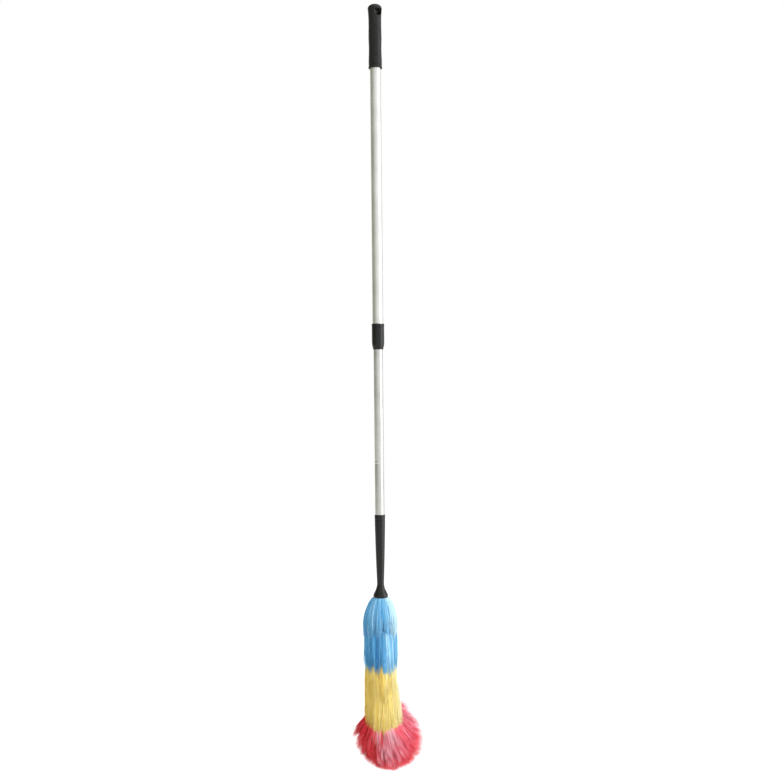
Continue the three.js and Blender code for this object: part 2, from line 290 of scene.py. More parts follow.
# Split polypropylene fibre, dyed in the melt: silky and half glossy. Its strand map holds the place along
# the fibre and the fibre's shade, which stays close to its lock's and carries some painted shade and light,
# and the root end is darkened below the middle as painted shade, where the fringe above would shade it.
def dyedFibre(name, shades, rootPaintedShade, tipShade=(1, 1, 1)):
    material, shader = newMaterial(name)
    strandMap = addNode(material, "UVMap", {"uv_map": "strand"})
    split = addNode(material, "SeparateXYZ", Vector=(strandMap, "UV"))
    shade = addNode(material, "ValToRGB", Fac=(split, "Y"),
                    stops=[(place, hexColour(tone)) for place, tone in shades])
    # the ramp's root stop is painted shade: each fibre's root end is darkened as the fringe above would
    # shade it
    along = addNode(material, "ValToRGB", Fac=(split, "X"),
                    stops=[(0.0, (rootPaintedShade,) * 3 + (1,)), (0.45, (1, 1, 1, 1)), (0.8, (1, 1, 1, 1)),
                           (1.0, tipShade + (1,))])
    colour = addNode(material, "Mix", {"data_type": "RGBA", "blend_type": "MULTIPLY"}, in0=1.0,
                     in6=shade, in7=along)
    rough = addNode(material, "MapRange", Value=(split, "Y"), **{"To Min": 0.38, "To Max": 0.55})
    setInputs(material, shader, **{"Base Color": (colour, 2), "Roughness": (rough, "Result"), "IOR": 1.49,
                                   "Sheen Weight": 0.12, "Sheen Roughness": 0.4})
    return material


grippyBlack = blackPolypropylene("grainedPolypropylene", ("#0e0f0b", "#171813"), 0.28, (0.38, 0.5), 0.6)
smoothBlack = blackPolypropylene("smoothPolypropylene", ("#080a07", "#0f110d"), 0.33, (0.2, 0.3), 0.35)
upperTubeMetal = anodisedAluminium("anodisedUpperTube", 0.5, "#c8c8c1", "#d8d8d2")
lowerTubeMetal = anodisedAluminium("anodisedLowerTube", 0.6, "#b2b2ac", "#c7c7c2")
nylon = naturalNylon()
tape = bindingTape()
print("materials made")


# The hand grip.
gripLow, gripHigh = nodeSpan("hand_grip")
upperLow, upperHigh = nodeSpan("outer_tube")
gripShape = {
    "headRadius": (gripHigh[0] - gripLow[0]) / 2,
    "headHeight": gripHigh[2] - 9.0,
    "seamHeight": -20.0,
    "boreRadius": upperHigh[0] + 0.3,
    "boreTop": upperHigh[2] + 0.5,
    "lipRadius": 13.9,
    "lipHeight": 3.4,
    "shankRadius": 13.3,  # between the lip and the ring groove
    "swell": [(13.45, -101), (12.75, -77), (13.25, -54), (12.85, -30), (13.0, -15), (13.6, -4)],
    "ringDepth": 0.7,
    "ringWidth": 2.2,
    "ringHeight": -110.0,
    "sides": 192,
}
eyeletShape = {"width": 16.0, "height": 14.0, "corner": 3.0, "edgeFillet": 0.9, "draft": 0.13}
ribShape = {"count": 12, "pitch": 5.5, "first": -32.8, "width": 3.0, "depth": 1.15,
            "panelDegrees": 42, "panelTurn": 38, "fadeStart": 0.05, "fade": 0.07}
# rows of the head's net: up its side, over its dome, in to the eyelet, round its edge and through it
headRows = {"side": 25, "dome": 39, "face": 22, "edge": 6, "tunnel": 10}

gripSwell = throughPoints(gripShape["swell"] + [(gripShape["headRadius"], gripShape["headHeight"])], 8)


# Radius of the grip's smooth outside at a height: the swell below the head, and above it a quarter
# ellipse.
def gripRadius(z):
    top, middle = gripHigh[2], gripShape["headHeight"]
    dome = gripShape["headRadius"] * np.sqrt(np.clip(1 - ((z - middle) / (top - middle)) ** 2, 0, 1))
    return np.where(z > middle, dome, np.interp(z, gripSwell[:, 1], gripSwell[:, 0]))


# Depth of the rib grooves: a rounded valley every pitch, on four panels whose edges fade out, each
# turned by the same angle to one side of the eyelet's axis.
def ribRipple(angle, z, radius):
    half = math.radians(ribShape["panelDegrees"] / 2)
    fromEyelet = np.abs(angle % np.pi - np.pi / 2)
    offset = np.abs(fromEyelet - math.radians(ribShape["panelTurn"]))
    onPanel = 1 - smoothStep((offset - half + ribShape["fadeStart"]) / ribShape["fade"])
    step = (ribShape["first"] - z) / ribShape["pitch"]
    nearest = np.clip(np.round(step), 0, ribShape["count"] - 1)
    away = np.abs(step - nearest) * ribShape["pitch"] / (ribShape["width"] / 2)
    valley = (1 - smoothStep(away)) * ribShape["depth"]
    outside = radius > gripShape["boreRadius"] + 0.8
    return -valley * onPanel * outside


# Heights down the grip's outside, closer together in the ribs.
def gripHeights():
    low = gripShape["swell"][0][1]
    ribLow = ribShape["first"] - (ribShape["count"] - 0.5) * ribShape["pitch"]
    ribHigh = ribShape["first"] + 0.5 * ribShape["pitch"]
    ribRows = ribShape["count"] * 12
    return np.concatenate([np.linspace(low, ribLow, 12, endpoint=False),
                           np.linspace(ribLow, ribHigh, ribRows, endpoint=False),
                           np.linspace(ribHigh, gripShape["seamHeight"], 14)])


# Distance from the eyelet's centre to its edge in each direction, with the outline grown by an offset:
# straight sides and roof with rounded upper corners, and a half circle below.
def eyeletReach(direction, grow):
    half = eyeletShape["width"] / 2 + grow
    top = eyeletShape["height"] / 2 + grow
    corner = eyeletShape["corner"] + grow
    lowCentre = eyeletShape["width"] / 2 - eyeletShape["height"] / 2
    arc = np.linspace(0, np.pi / 2, 16)
    below = np.linspace(np.pi, 2 * np.pi, 64)
    x = np.concatenate([half - corner + corner * np.cos(arc), corner - half - corner * np.sin(arc),
                        half * np.cos(below)])
    z = np.concatenate([top - corner + corner * np.sin(arc), top - corner + corner * np.cos(arc),
                        lowCentre + half * np.sin(below)])
    run = np.linspace(0, 1, 12, endpoint=False)
    x, z = [np.concatenate([a + (b - a) * run for a, b in zip(v, np.roll(v, -1))]) for v in (x, z)]
    angle = np.arctan2(z, x) % (2 * np.pi)
    order = np.argsort(angle)
    return np.interp(direction % (2 * np.pi), angle[order], np.hypot(x, z)[order], period=2 * np.pi)


# The head: a net that starts on the head's silhouette and the circle below it, runs in to the eyelet,
# rounds its edge, narrows to the middle of the hole and comes out to the same lines at the back.
def gripHead(sides):
    half = sides // 2
    seam, top, middle = gripShape["seamHeight"], gripHigh[2], gripShape["headHeight"]
    seamRadius = float(gripRadius(np.array(seam)))
    below = np.pi + np.pi * np.arange(half + 1) / half
    rise = np.linspace(seam, middle, headRows["side"] + 1)[1:]
    arc = np.linspace(0, np.pi / 2, headRows["dome"] + 1)[1:]
    dome = np.stack([gripShape["headRadius"] * np.cos(arc), middle + (top - middle) * np.sin(arc)], 1)
    side = np.concatenate([np.stack([gripRadius(rise), rise], 1), dome])
    other = side[-2::-1] * [-1, 1]
    rim = np.vstack([np.stack([seamRadius * np.cos(below), np.full(half + 1, seam)], 1), side, other])
    direction = np.arctan2(rim[:, 1] + datum, rim[:, 0])
    ray = np.stack([np.cos(direction), np.sin(direction)], 1)

    def depthAt(flat):
        return np.sqrt(np.clip(gripRadius(flat[:, 1]) ** 2 - flat[:, 0] ** 2, 0, None))

    fillet = eyeletShape["edgeFillet"]
    centre = np.array([0, -datum])
    inner = centre + ray * eyeletReach(direction, fillet)[:, None]
    rows = []
    for v in np.linspace(0, 1, headRows["face"]):
        flat = inner + (rim - inner) * math.cos(v * np.pi / 2)
        rows.append(np.stack([flat[:, 0], -depthAt(flat), flat[:, 1]], 1))
    for turn in np.linspace(0, np.pi / 2, headRows["edge"] + 1)[1:]:
        flat = centre + ray * eyeletReach(direction, fillet * (1 - math.sin(turn)))[:, None]
        rows.append(np.stack([flat[:, 0], -depthAt(flat) + fillet * (1 - math.cos(turn)), flat[:, 1]], 1))
    front = np.array(rows)
    back = front[::-1] * [1, -1, 1]
    run = np.linspace(0, 1, headRows["tunnel"] + 2)[1:-1, None, None]
    tunnel = front[-1][None] + (back[0] - front[-1])[None] * run
    narrowing = 1 - eyeletShape["draft"] * np.sin(np.pi * run)
    tunnel[..., [0, 2]] = centre + (tunnel[..., [0, 2]] - centre) * narrowing
    return np.concatenate([front, tunnel, back])


# The grip: a turned body with lip, ring groove and ribs, closed inside above its bore, with the head's
# net joined to its top ring.
def makeGrip():
    sides = gripShape["sides"]
    low = gripLow[2]
    lip, lipTop = gripShape["lipRadius"], low + gripShape["lipHeight"]
    ring, ringHalf = gripShape["ringHeight"], gripShape["ringWidth"] / 2
    shank, bore = gripShape["shankRadius"], gripShape["boreRadius"]
    ringBed = shank - gripShape["ringDepth"]
    waist, waistHeight = gripShape["swell"][0]
    foot = filleted([(bore, low + 6), (bore, low, 0.4), (lip, low, 0.8), (lip, lipTop, 0.6),
                     (shank, lipTop + 0.4, 0.3), (shank, ring - ringHalf, 0.35),
                     (ringBed, ring - ringHalf + 0.5, 0.4), (ringBed, ring + ringHalf - 0.5, 0.4),
                     (waist, ring + ringHalf, 0.35), (waist, waistHeight - 1)], 5)
    heights = gripHeights()
    outside = np.stack([gripRadius(heights), heights], 1)
    boreWall = [(bore, z) for z in np.linspace(gripShape["boreTop"], low + 10, 8)]
    rings = np.vstack([boreWall, foot, outside])
    body = ringPoints(rings, sides, ribRipple)
    head = gripHead(sides)
    count = len(body)
    points = np.vstack([body, [[0, 0, gripShape["boreTop"]]], head.reshape(-1, 3)])
    faceSets = [gridFaces(len(rings), sides), capFaces(0, sides, count, lower=True),
                gridFaces(head.shape[0], head.shape[1]) + count + 1]
    piece = meshPiece("gripMoulding", points, faceSets)
    weld(piece)
    return piece


gripPiece = makeGrip()
setMaterial(gripPiece, grippyBlack)
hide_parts("hand_grip")
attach(gripPiece, "outer_pole")
print("grip made")


# The tubes and the lock.
tubeShape = {"sides": 128, "edge": 0.25, "upperWall": 0.9, "lowerWall": 0.8}
crimpShape = {"heights": (-908.1, -914.4), "width": 2.0, "depth": 0.4}


# A tube with rounded ends; grooves rolled into it show outside and as a bulge in its bore.
def tubeProfile(radius, wall, low, high, grooves=()):
    edge = tubeShape["edge"]
    outside = [(radius, low + 1)]
    inside = [(radius - wall, low + 1)]
    for groove in sorted(grooves):
        away = np.linspace(-1, 1, 13)
        dip = crimpShape["depth"] * 0.5 * (1 + np.cos(away * np.pi))
        heights = groove + away * crimpShape["width"] / 2
        outside += list(zip(radius - dip, heights))
        inside += list(zip(radius - wall - dip, heights))
    outside.append((radius, high - 1))
    inside.append((radius - wall, high - 1))
    top = filleted([outside[-1], (radius, high, edge), (radius - wall, high, edge), inside[-1]], 4)
    foot = filleted([inside[0], (radius - wall, low, edge), (radius, low, edge), outside[0]], 4)
    return np.vstack([outside[:-1], top, inside[:-1][::-1], foot[1:-1]])


# One tube of the pole, turned between its node's ends.
def makeTube(name, node, wall, metal, body, grooves=()):
    low, high = nodeSpan(node)
    piece = turned(name, tubeProfile(high[0], wall, low[2], high[2], grooves), tubeShape["sides"])
    setMaterial(piece, metal)
    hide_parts(node)
    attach(piece, body)


makeTube("upperTube", "outer_tube", tubeShape["upperWall"], upperTubeMetal, "outer_pole")
makeTube("lowerTube", "inner_tube", tubeShape["lowerWall"], lowerTubeMetal, "inner_pole",
         crimpShape["heights"])

lockLow, lockHigh = nodeSpan("lock_base")
collarLow, collarHigh = nodeSpan("lock_collar")
colletLow, colletHigh = nodeSpan("collet_ring")
lockShape = {"flangeHeight": 6.0, "sleeveRadius": 11.75, "barrelRadius": 11.2, "throat": 9.75,
             "threadPitch": 3.0, "threadDepth": 0.3, "threadStep": 0.35, "seatGap": 0.3,
             "sides": 96}
collarShape = {"taperTop": -672.0, "mouthRadius": 10.4, "boreRadius": 11.95, "lineHeight": -677.0,
               "lineRadius": 11.75, "lineBed": 11.5, "noseRadius": 11.05, "shoulderRadius": 12.25,
               "colletSeat": 10.65, "sides": 128}


# The bush: a threaded barrel, a sleeve and a flange, bored for the lower tube and, above a seat, for the
# upper one.
def makeLockBase():
    top, bottom = lockHigh[2], lockLow[2]
    flange = lockHigh[0]
    seat = upperHigh[0] + lockShape["seatGap"]
    stop = upperLow[2] - lockShape["seatGap"]
    sleeve, barrel, throat = lockShape["sleeveRadius"], lockShape["barrelRadius"], lockShape["throat"]
    flangeLow = top - lockShape["flangeHeight"]
    thread = [(barrel, z) for z in np.arange(bottom + 2, stop - 3, lockShape["threadStep"])]
    profile = np.vstack([
        filleted([(throat, bottom + 2), (throat, bottom, 0.3), (barrel, bottom, 0.5),
                  (barrel, bottom + 1.5)], 3),
        thread,
        filleted([(barrel, stop - 2.5), (barrel, stop - 2, 0.2), (sleeve, stop - 1, 0.3),
                  (sleeve, flangeLow, 0.2), (flange, flangeLow, 0.4), (flange, top, 0.8), (seat, top, 0.25),
                  (seat, stop, 0.1), (throat, stop, 0.1), (throat, stop - 2)], 5),
    ])

    # the thread is a helix: its ridge climbs one pitch a turn
    def threadRipple(angle, z, radius):
        inThread = (z > bottom + 1.9) & (z < stop - 2.9) & (np.abs(radius - barrel) < 0.01)
        phase = (z / lockShape["threadPitch"] - angle / (2 * np.pi)) * 2 * np.pi
        valley = (np.clip(np.cos(phase) * 1.6, -1, 1) - 1) / 2
        return np.where(inThread, lockShape["threadDepth"] * valley, 0)

    return turned("lockBush", profile, lockShape["sides"], threadRipple)


# The collar: a straight upper part, a taper with a fine line round it and a rounded mouth, bored to
# hold the collet and to screw on the bush.
def makeCollar():
    low, high, radius = collarLow[2], collarHigh[2], collarHigh[0]
    mouth, bore, throat = collarShape["mouthRadius"], collarShape["boreRadius"], lockShape["throat"]
    line, lineRadius, seat = collarShape["lineHeight"], collarShape["lineRadius"], collarShape["colletSeat"]
    taperTop = collarShape["taperTop"]
    seatLow, seatHigh = colletLow[2] - 0.3, colletHigh[2]
    taper = throughPoints([(mouth, low + 1.4), (collarShape["noseRadius"], low + 4.4),
                           (lineRadius, line - 0.35)], 6)
    upper = throughPoints([(lineRadius + 0.05, line + 0.35), (collarShape["shoulderRadius"], line + 3),
                           (radius, taperTop + 1.5)], 6)
    profile = np.vstack([
        filleted([(throat, low + 2), (throat, low, 0.25), (mouth, low, 0.5), (mouth, low + 1.2)], 4),
        taper,
        [(collarShape["lineBed"], line)],
        upper,
        filleted([(radius, taperTop + 3), (radius, high, 0.5), (bore, high, 0.25), (bore, seatHigh, 0.2),
                  (colletHigh[0] + 0.3, seatHigh, 0.1), (seat, seatLow, 0.1), (throat, seatLow, 0.1),
                  (throat, low + 4)], 4),
    ])
    return turned("twistCollar", profile, collarShape["sides"])


lockBush = makeLockBase()
setMaterial(lockBush, smoothBlack)
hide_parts("lock_base")
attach(lockBush, "outer_pole")

collarPiece = makeCollar()
setMaterial(collarPiece, smoothBlack)
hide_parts("lock_collar")
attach(collarPiece, "lock_collar")
print("tubes and lock made")


# The handle of the head.
handleLow, handleHigh = nodeSpan("head_handle")
rodHigh = nodeSpan("core_rod")[1]
handleShape = {
    "top": nodeSpan("inner_tube")[0][2] - 0.3,
    "beadRadius": 10.75,
    "beadHeight": 9.7,
    "taper": [(7.2, -1155.7), (7.55, -1143), (8.4, -1121), (9.15, -1098), (9.75, -1074), (10.35, -1048),
              (10.65, -1030)],
    "bell": [(14.95, -1181.6), (14.4, -1178), (11.9, -1172.9), (9.2, -1167), (7.6, -1161)],
    "neckRadius": 10.62,  # just below the bead, and the groove between them
    "grooveRadius": 10.1,
    "spigotRadius": 8.2,
    "spigotCore": 5.4,
    "spigotCoreDepth": 30.0,
    "crushRibs": 6,
    "crushHeight": 0.2,
    "crushWidth": 0.7,
    "sides": 144,
}


# The handle: a bell, a taper and a bead turned in one, with a blind bore for the rod below and a hollow
# spigot above.
def makeHandle():
    top, bottom, crown = handleShape["top"], handleLow[2], handleHigh[2]
    bead, beadLow = handleShape["beadRadius"], top - handleShape["beadHeight"]
    neck, groove = handleShape["neckRadius"], handleShape["grooveRadius"]
    spigot, core = handleShape["spigotRadius"], handleShape["spigotCore"]
    coreFloor = crown - handleShape["spigotCoreDepth"]
    rodBore, rodRoof = rodHigh[0] + 0.3, rodHigh[2] + 0.3
    rim = handleHigh[0]
    outline = throughPoints(handleShape["bell"] + handleShape["taper"], 7)
    profile = np.vstack([
        [(0, rodRoof)],
        filleted([(rodBore * 0.5, rodRoof), (rodBore, rodRoof, 0.3), (rodBore, bottom + 12, 0.5),
                  (rim - 2.4, bottom + 3, 0.8), (rim - 1.6, bottom, 0.4), (rim - 0.6, bottom, 0.5),
                  (rim, bottom + 1.8, 0.8), (rim, bottom + 4.2)], 4),
        outline[1:],
        filleted([(neck, beadLow - 1.2), (neck, beadLow - 0.4, 0.3), (groove, beadLow + 0.1, 0.3),
                  (bead, beadLow + 0.7, 0.5), (bead, top, 1.0), (spigot, top, 0.5), (spigot, crown, 1.4),
                  (core, crown, 0.5), (core, coreFloor, 0.5), (core * 0.5, coreFloor)], 5),
        [(0, coreFloor)],
    ])

    # crush ribs stand out from the spigot, evenly round it, so that it jams in the tube
    def crushRipple(angle, z, radius):
        half = np.pi / handleShape["crushRibs"]
        near = np.abs((angle + half) % (2 * half) - half) * spigot
        onSpigot = (radius > spigot - 0.2) & (radius < spigot + 0.01) & (z > top + 1.5)
        ridge = 1 - smoothStep(near / handleShape["crushWidth"])
        return np.where(onSpigot, handleShape["crushHeight"] * ridge, 0)

    return turned("headHandle", profile, handleShape["sides"], crushRipple)


handlePiece = makeHandle()
setMaterial(handlePiece, smoothBlack)
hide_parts("head_handle")
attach(handlePiece, "duster_head")

# the hidden nodes keep their own meshes
for node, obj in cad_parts.items():
    if node in ("collet_ring", "guide_bush", "bush_plug", "core_rod", "core_cap"):
        setMaterial(obj, nylon)
    elif node.endswith("_binding"):
        setMaterial(obj, tape)
print("handle made")


# The head is built of lengths of fringe. Each has locks, bundles of fibre 10 to 20 mm wide that share a
# shade and a pointed end, and a lock is made of tufts, whose fibres cling together. A real fibre is
# about 0.1 mm wide: these are drawn some ten times coarser so that they show, and each is a closed
# three-sided strand.
strandShape = {
    "rings": 8,
    "thin": 0.45,
    "rootRadius": 6.8,
    "lockSwirl": 0.08,  # how far locks and tufts stray round the head by their ends, in radians
    "tuftSwirl": 0.07,
    "skirtRadius": 30,  # where a sideways shift in millimetres is turned to an angle
}
viewTurn = math.radians(-36)  # the side that the tip leans to, and the right of the usual view
leanShape = {"distance": 17.0, "from": -1385.0, "to": -1470.0}


# Places of a strand's rings along it, closer together where it leaves the binding.
def ringPlaces():
    return np.linspace(0, 1, strandShape["rings"]) ** 1.25


# Strands from their centre lines: a three-sided section that faces away from the pole, wide at the
# middle and pointed at the tip, is carried along each line.
def strandMesh(name, lines, shade, width):
    count, rings = lines.shape[:2]
    along = ringPlaces()
    tangent = np.gradient(lines, axis=1)
    tangent /= np.linalg.norm(tangent, axis=2, keepdims=True) + 1e-9
    outward = lines * [1, 1, 0] + [0, 0, 0.01]
    outward /= np.linalg.norm(outward, axis=2, keepdims=True) + 1e-9
    side = np.cross(tangent, outward)
    side /= np.linalg.norm(side, axis=2, keepdims=True) + 1e-9
    normal = np.cross(side, tangent)
    swelling = 0.6 + 0.4 * np.sin(np.pi * np.clip(along * 1.1, 0, 1))
    half = 0.5 * width[:, None] * (swelling * (1 - 0.82 * smoothStep((along - 0.7) / 0.3)))[None, :]
    corners = []
    for turn in (90, 210, 330):
        a = math.radians(turn)
        corners.append(lines + side * (half * math.cos(a))[..., None]
                       + normal * (half * strandShape["thin"] * math.sin(a))[..., None])
    points = np.stack(corners, 2).reshape(-1, 3)
    start = (np.arange(count) * rings * 3)[:, None, None]
    ring = (np.arange(rings - 1) * 3)[None, :, None]
    k = np.arange(3)[None, None, :]
    kNext = (k + 1) % 3
    low = start + ring
    quads = np.stack([low + k, low + kNext, low + 3 + kNext, low + 3 + k], -1)
    first = np.arange(count)[:, None] * rings * 3
    rootCap = first + np.array([[2, 1, 0]])
    tipCap = first + (rings - 1) * 3 + np.array([[0, 1, 2]])
    uv = np.stack([np.tile(np.repeat(along, 3), count), np.repeat(shade, rings * 3)], -1)
    return meshPiece(name, points, [quads.reshape(-1, 4), rootCap, tipCap], uv)


# A value round the head from a few settings, each a direction in degrees and a value. 0 faces the
# usual view and 90 is its right.
def roundHead(angle, plan):
    degrees, values = zip(*plan)
    seen = np.degrees(angle - viewTurn) + 90
    return np.interp(seen, degrees, values, period=360)


# Where the locks and tufts of a fringe lie, how deep each fibre is, and its shade. Tufts stand at even
# steps across a lock with some jitter, and a fibre's depth is part its tuft's and part its own. Deeper
# fibres are darkened as painted shade, where the fibres over them would shade them.
def layOut(shape, rng):
    locks, tufts, each = shape["locks"], shape["tufts"], shape["each"]
    lockAngle = (np.arange(locks) + rng.uniform(-0.3, 0.3, locks)) * 2 * np.pi / locks
    place = (np.arange(tufts) + rng.uniform(0, 1, (locks, tufts))) / tufts * 2 - 1
    layer = rng.uniform(0, 1, (locks, tufts, 1)) ** 1.3 * (1 - shape["loose"])
    layer = layer + rng.uniform(0, 1, (locks, tufts, each)) ** 1.3 * shape["loose"]
    jitter = np.clip(rng.normal(0, 0.5, (locks, tufts, each)), -1.3, 1.3)
    across = place[..., None] + jitter * shape["tuftWidth"] / tufts
    lockShade = roundHead(lockAngle, shape["shade"]) + rng.uniform(-1, 1, locks) * shape["mottle"]
    # the last term is painted shade: a fibre is darkened by up to 0.1 as it lies deeper under the others
    shade = (lockShade[:, None, None] + rng.normal(0, shape["streak"], (locks, tufts))[..., None]
             + rng.normal(0, 0.08, (locks, tufts, each)) - 0.1 * layer)
    return lockAngle, across, layer, np.clip(shade, 0.01, 0.99)


# Lines of a skirt of fringe. Every strand starts on the binding, swings out to the skirt's profile
# and follows it down. A lock closes up towards its end, the tufts at its sides are shorter, and
# inner layers are drawn in towards the core. Waves grow along a tuft, and frizz as the place cubed.
def skirtLines(shape, rng):
    lockAngle, across, layer, shade = layOut(shape, rng)
    locks, tufts = across.shape[:2]
    along = ringPlaces()
    reach = roundHead(lockAngle, shape["reach"]) * rng.uniform(0.96, 1.03, locks)
    length = (reach[:, None, None] * (1 - shape["point"] * np.abs(across) ** 1.6)
              * rng.uniform(1 - shape["ragged"], 1.02, (locks, tufts, 1))
              * (1.01 - 0.16 * rng.uniform(0, 1, across.shape) ** 1.5))
    profile = throughPoints(shape["profile"], 12)
    walked = np.concatenate([[0], np.cumsum(np.linalg.norm(np.diff(profile, axis=0), axis=1))])
    walked /= walked[-1]
    place = length[..., None] * along
    radius = np.interp(place, walked, profile[:, 0])
    height = np.interp(place, walked, profile[:, 1])
    height = height - np.clip(place - 1, 0, None) * (profile[0, 1] - profile[-1, 1])
    core = profile[0, 0]
    inner = 1 - (layer * shape["depth"] + rng.uniform(0, 0.05, across.shape))[..., None]
    lift = (rng.uniform(-1, 1, locks) * shape["uneven"])[:, None, None, None]
    radius = core + (radius - core) * inner + lift * smoothStep(along * 2)
    spread = shape["overlap"] * np.pi / locks
    angle = lockAngle[:, None, None, None] + across[..., None] * spread * (1 - shape["gather"] * along ** 2)
    swirl = (rng.normal(0, strandShape["lockSwirl"], (locks, 1, 1, 1))
             + rng.normal(0, strandShape["tuftSwirl"], (locks, tufts, 1, 1)))
    angle = angle + swirl * along ** 1.6
    phase = rng.uniform(0, 2 * np.pi, (locks, tufts, 1, 1))
    size = shape["wave"] * rng.uniform(0.2, 1, (locks, tufts, 1, 1))
    radius = radius + size * np.sin(along * 7 + phase) * along
    angle = angle + size / strandShape["skirtRadius"] * np.cos(along * 6 + phase * 1.7) * along
    frizz = shape["frizz"] * along ** 3
    radius = radius + np.abs(rng.normal(0, 1, across.shape)[..., None] * frizz)
    angle = angle + rng.normal(0, 1, across.shape)[..., None] * frizz / strandShape["skirtRadius"]
    radius = radius * (1 + (roundHead(angle, shape["flare"]) - 1) * along)
    lines = np.stack([radius * np.cos(angle), radius * np.sin(angle), height], -1)
    return lines.reshape(-1, along.size, 3), shade.reshape(-1)


# The head's round end: three profiles, for its right, left and front, each drawn about a line that
# leans away from the pole.
endShape = {
    "rightTurn": 108,
    "right": [(43, -1394), (57, -1403), (64, -1424), (69, -1442), (75, -1463), (73, -1485), (65, -1502),
              (53, -1515), (34, -1527), (2, -1535)],
    "left": [(33, -1401), (42, -1420), (54, -1436), (71, -1451), (80, -1464), (75, -1479), (65, -1496),
             (51, -1512), (32, -1526), (2, -1535)],
    "front": [(24, -1400), (27, -1428), (33, -1449), (47, -1463), (62, -1474), (69, -1487), (63, -1502),
              (50, -1515), (31, -1527), (2, -1535)],
}


# A point of the round end, at an angle and at a place from its top, 0, to its tip, 1. It is a mean of the
# three profiles: the right counts by a power of the cosine of the direction measured from its own
# middle, the left by the sine's square, and the front has the rest. A smooth step in height adds the lean.
def endPoint(angle, place):
    seen = angle - viewTurn + np.pi / 2
    right = np.clip(np.cos(seen - math.radians(endShape["rightTurn"])), 0, 1) ** 6
    left = np.clip(-np.sin(seen), 0, 1) ** 2 * (1 - right)
    weights = {"right": right, "left": left, "front": 1 - right - left}
    total = 0
    for side, weight in weights.items():
        curve = throughPoints(endShape[side], 10)
        at = np.linspace(0, 1, len(curve))
        point = np.stack([np.interp(place, at, curve[:, i]) for i in (0, 1)], -1)
        total = total + weight[..., None] * point
    radius, height = total[..., 0], total[..., 1]
    leaning = (height - leanShape["from"]) / (leanShape["to"] - leanShape["from"])
    lean = leanShape["distance"] * smoothStep(leaning)
    return np.stack([radius * np.cos(angle) + lean * math.cos(viewTurn),
                     radius * np.sin(angle) + lean * math.sin(viewTurn), height], -1)


# Lines of a burst of fringe. Every strand starts on the binding and ends at a place on the round end.
# It goes there on a curve with one control point: half way and shifted by rise where fibres stand out,
# and far out and high where they drape.
def burstLines(shape, rng):
    lockAngle, across, _, shade = layOut(shape, rng)
    locks, tufts = across.shape[:2]
    angle = lockAngle[:, None, None] + across * shape["overlap"] * np.pi / locks
    first, last = shape["places"]
    place = first + (last - first) * rng.uniform(0, 1, (locks, tufts, 1)) ** shape["sink"]
    place = np.minimum(np.abs(place + rng.normal(0, 0.035, across.shape)), 1)
    end = endPoint(angle, place)
    drape = roundHead(angle, shape["drape"])[..., None]
    rootTop, rootLow = shape["root"]
    rootHeight = rootTop + (rootLow - rootTop) * (place - first) / (last - first)
    rootRadius = strandShape["rootRadius"]
    root = np.stack([rootRadius * np.cos(angle), rootRadius * np.sin(angle), rootHeight], -1)
    between = root + (end - root) * 0.5
    between[..., 2] += roundHead(angle, shape["rise"])
    hanging = np.concatenate([end[..., :2] * 0.93, rootHeight[..., None] - 4], -1)
    bend = between * (1 - drape) + hanging * drape
    length = (1.02 + rng.uniform(-1, 0.3, locks)[:, None, None] * shape["lobes"]
              - shape["ragged"] * rng.uniform(0, 1, (locks, tufts, 1)) ** 2.5
              - 0.07 * rng.uniform(0, 1, across.shape))
    t = (length[..., None] * ringPlaces())[..., None]
    lines = (root[..., None, :] * (1 - t) ** 2 + bend[..., None, :] * 2 * t * (1 - t)
             + end[..., None, :] * t ** 2)
    phase = rng.uniform(0, 2 * np.pi, (locks, tufts, 1, 1, 3))
    size = shape["wave"] * rng.uniform(0.2, 1, (locks, tufts, 1, 1, 1))
    lines = lines + size * np.sin(t * 7 + phase) * t
    lines = lines + rng.normal(0, 1, across.shape + (1, 3)) * shape["frizz"] * t ** 3
    return lines.reshape(-1, strandShape["rings"], 3), shade.reshape(-1)


blueFibre = dyedFibre("blueFibre", [(0, "#2f85c2"), (0.3, "#53addf"), (0.65, "#93d2f4"), (1, "#d2f2fd")],
                      0.88)
yellowFibre = dyedFibre("yellowFibre", [(0, "#ecbc3a"), (0.35, "#f8da68"), (0.7, "#f7eaa8"),
                                        (1, "#fcf5cf")], 0.94)
pinkFibre = dyedFibre("pinkFibre", [(0, "#c61520"), (0.3, "#f53442"), (0.6, "#ff7a90"), (1, "#ffd0da")],
                      0.88, (0.92, 0.76, 0.8))

# What the lengths of one colour share. width, wave, frizz and uneven are in millimetres, tuftWidth and
# overlap count spacings of tufts and of locks, and the rest are numbers of pieces or parts of a whole.
blueSkirt = {
    "lines": skirtLines, "fibre": blueFibre, "slot": "blue_fibre", "locks": 15, "tufts": 17, "each": 16,
    "tuftWidth": 3.8, "overlap": 1.45, "gather": 0.2, "uneven": 1.2, "depth": 0.3, "width": 1.05,
    "wave": 0.9, "frizz": 0.9, "loose": 0.45,
}
yellowSkirt = {
    "lines": skirtLines, "fibre": yellowFibre, "slot": "yellow_fibre", "locks": 24, "tufts": 11, "each": 15,
    "tuftWidth": 5.0, "overlap": 1.6, "gather": 0.08, "uneven": 0.5, "depth": 0.25, "width": 1.05,
    "mottle": 0.05, "streak": 0.08, "loose": 0.75,
}
pinkBurst = {
    "lines": burstLines, "fibre": pinkFibre, "slot": "pink_fibre", "locks": 18, "tufts": 28, "each": 8,
    "tuftWidth": 6.5, "overlap": 1.5, "sink": 0.9, "lobes": 0.09, "ragged": 0.2, "width": 1.3,
    "wave": 1.2, "frizz": 1.5, "mottle": 0.07, "streak": 0.1, "loose": 0.5,
}

